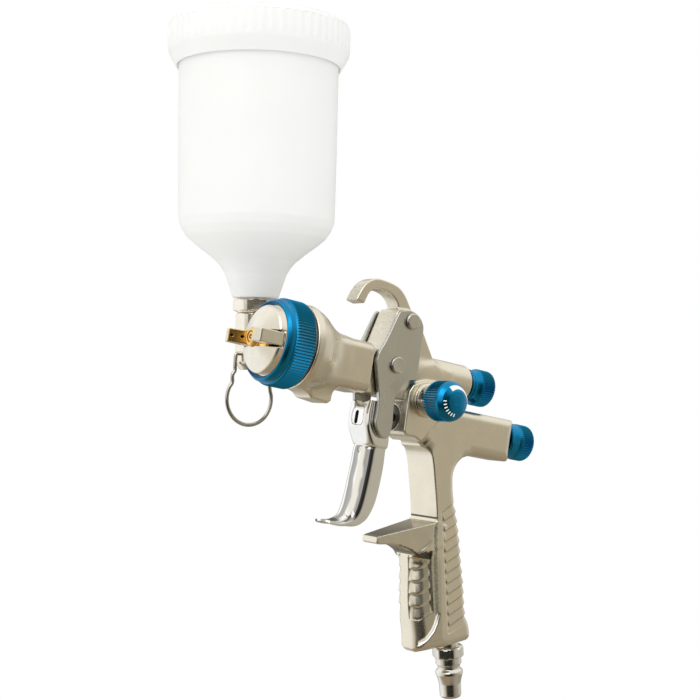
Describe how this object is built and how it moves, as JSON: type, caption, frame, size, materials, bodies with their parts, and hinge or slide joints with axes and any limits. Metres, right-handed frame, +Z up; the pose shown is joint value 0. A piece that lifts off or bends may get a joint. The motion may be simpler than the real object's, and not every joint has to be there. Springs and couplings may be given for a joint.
{
  "type": "hvlp spray gun",
  "caption": "Hand-held low-pressure paint spray gun with a side-mounted swivelling gravity cup, pivoting trigger, hanging hook and screw adjustment knobs.",
  "frame": {"origin": "at the middle of the hook's flat seat, from which the gun hangs; the spray axis runs 30.7 mm below it, and the retaining ring's front rim is 49.2 mm in front of it", "axes": "+X back along the spray axis towards the rear knobs, so paint leaves along -X; +Z up; +Y towards the paint cup's side"},
  "size_m": [0.1857, 0.1099, 0.2789],
  "materials": {
    "cast_nickel": "satin pearl-nickel plated casting",
    "chrome": "polished",
    "brushed_steel": "fine brushed",
    "nickel": "nickel plated, machined",
    "blue_anodised": "blue anodised, satin",
    "brass": "machined",
    "white_nylon": "translucent white moulded nylon",
    "ptfe": "matt",
    "black_rubber": "matt"
  },
  "bodies": {
    "gun": {"gun_body": "cast_nickel", "air_baffle": "nickel", "fluid_nozzle": "brass", "needle_packing": "ptfe", "packing_nut": "brass", "trigger_pivot_pin": "brushed_steel", "pattern_collar": "nickel", "air_valve_cage": "brass", "air_valve_seal": "black_rubber", "fluid_bush": "nickel", "air_bush": "nickel", "air_inlet_plug": "brushed_steel", "plug_thread_seal": "ptfe", "inlet_nipple": "nickel", "inlet_lock_nut": "nickel", "inlet_gasket": "ptfe", "needle_spring": "brushed_steel", "air_valve_spring": "brushed_steel"},
    "trigger": {"trigger_lever": "chrome", "trigger_plate_near": "brushed_steel", "trigger_plate_far": "brushed_steel", "valve_push_bar": "brushed_steel"},
    "needle": {"fluid_needle": "brushed_steel", "needle_yoke": "brushed_steel", "needle_cross_pin_near": "brushed_steel", "needle_cross_pin_far": "brushed_steel", "needle_collar": "brass"},
    "air_valve": {"air_valve_stem": "brushed_steel", "air_valve_spring_cup": "brushed_steel"},
    "fluid_seat": {"fluid_spring_seat": "nickel"},
    "fluid_knob": {"fluid_knob": "blue_anodised"},
    "air_seat": {"air_spring_seat": "nickel"},
    "air_knob": {"air_knob": "blue_anodised"},
    "pattern_seal": {"pattern_seal": "black_rubber"},
    "pattern_knob": {"pattern_knob": "blue_anodised"},
    "cap_clip": {"cap_retaining_clip": "brushed_steel"},
    "ring": {"retaining_ring": "blue_anodised"},
    "air_cap": {"air_cap": "nickel", "air_cap_core": "brass"},
    "cup": {"swivel_block": "nickel", "cup_stud": "nickel", "cup_body": "white_nylon", "paint_strainer": "ptfe"},
    "lid_gasket": {"lid_gasket": "ptfe"},
    "lid": {"cup_lid": "white_nylon", "lid_vent_plug": "white_nylon"},
    "clip": {"cup_clip": "brushed_steel"}
  },
  "joints": [
    {"name": "trigger_pull", "type": "hinge", "parent": "gun", "child": "trigger", "pos_m": [0.0144, 0, -0.0107], "axis": [0, -1, 0], "range_deg": [0, 7], "stiffness_Nm_per_rad": 2, "springref_deg": -11.46},
    {"name": "needle_slide", "type": "slide", "parent": "gun", "child": "needle", "axis": [1, 0, 0], "range_m": [0, 0.0025], "deforming": ["needle_spring"]},
    {"name": "air_valve_slide", "type": "slide", "parent": "gun", "child": "air_valve", "axis": [1, 0, 0], "range_m": [0, 0.0051], "deforming": ["air_valve_spring"]},
    {"name": "fluid_knob_travel", "type": "slide", "parent": "gun", "child": "fluid_seat", "axis": [1, 0, 0], "range_m": [0, 0.004]},
    {"name": "fluid_knob_turn", "type": "hinge", "parent": "fluid_seat", "child": "fluid_knob", "pos_m": [0.0608, 0, -0.0307], "axis": [1, 0, 0], "range_deg": [0, 1440]},
    {"name": "air_knob_travel", "type": "slide", "parent": "gun", "child": "air_seat", "axis": [1, 0, 0], "range_m": [0, 0.004]},
    {"name": "air_knob_turn", "type": "hinge", "parent": "air_seat", "child": "air_knob", "pos_m": [0.0878, 0, -0.051], "axis": [1, 0, 0], "range_deg": [0, 1440]},
    {"name": "pattern_knob_travel", "type": "slide", "parent": "gun", "child": "pattern_seal", "axis": [0, -1, 0], "range_m": [0, 0.003]},
    {"name": "pattern_knob_turn", "type": "hinge", "parent": "pattern_seal", "child": "pattern_knob", "pos_m": [0.0276, -0.02, -0.042], "axis": [0, -1, 0], "range_deg": [0, 1080]},
    {"name": "ring_travel", "type": "slide", "parent": "gun", "child": "cap_clip", "axis": [-1, 0, 0], "range_m": [0, 0.003]},
    {"name": "ring_turn", "type": "hinge", "parent": "cap_clip", "child": "ring", "pos_m": [-0.0432, 0, -0.0307], "axis": [-1, 0, 0], "range_deg": [0, 720]},
    {"name": "air_cap_turn", "type": "hinge", "parent": "cap_clip", "child": "air_cap", "pos_m": [-0.0492, 0, -0.0307], "axis": [1, 0, 0], "range_deg": [-90, 90]},
    {"name": "cup_swivel", "type": "hinge", "parent": "gun", "child": "cup", "pos_m": [-0.0299, 0.028, -0.0307], "axis": [0, 1, 0], "range_deg": [-35, 45]},
    {"name": "lid_travel", "type": "slide", "parent": "cup", "child": "lid_gasket", "axis": [-0.1656, 0, 0.9862], "range_m": [0, 0.006]},
    {"name": "lid_turn", "type": "hinge", "parent": "lid_gasket", "child": "lid", "pos_m": [-0.03074, 0.038, -0.0307], "axis": [-0.1656, 0, 0.9862], "range_deg": [0, 540]},
    {"name": "clip_swing", "type": "hinge", "parent": "cup", "child": "clip", "pos_m": [-0.03018, 0.038, -0.03405], "axis": [1, 0, 0], "range_deg": [-60, 60]}
  ],
  "couplings": [
    {"joint": "needle_slide", "follows": "trigger_pull", "m_per_rad": 0.0196},
    {"joint": "air_valve_slide", "follows": "trigger_pull", "m_per_rad": 0.0403},
    {"joint": "fluid_knob_travel", "follows": "fluid_knob_turn", "m_per_rad": 0.00015915},
    {"joint": "air_knob_travel", "follows": "air_knob_turn", "m_per_rad": 0.00015915},
    {"joint": "pattern_knob_travel", "follows": "pattern_knob_turn", "m_per_rad": 0.00015915},
    {"joint": "ring_travel", "follows": "ring_turn", "m_per_rad": 0.00023873},
    {"joint": "lid_travel", "follows": "lid_turn", "m_per_rad": 0.00063662}
  ]
}
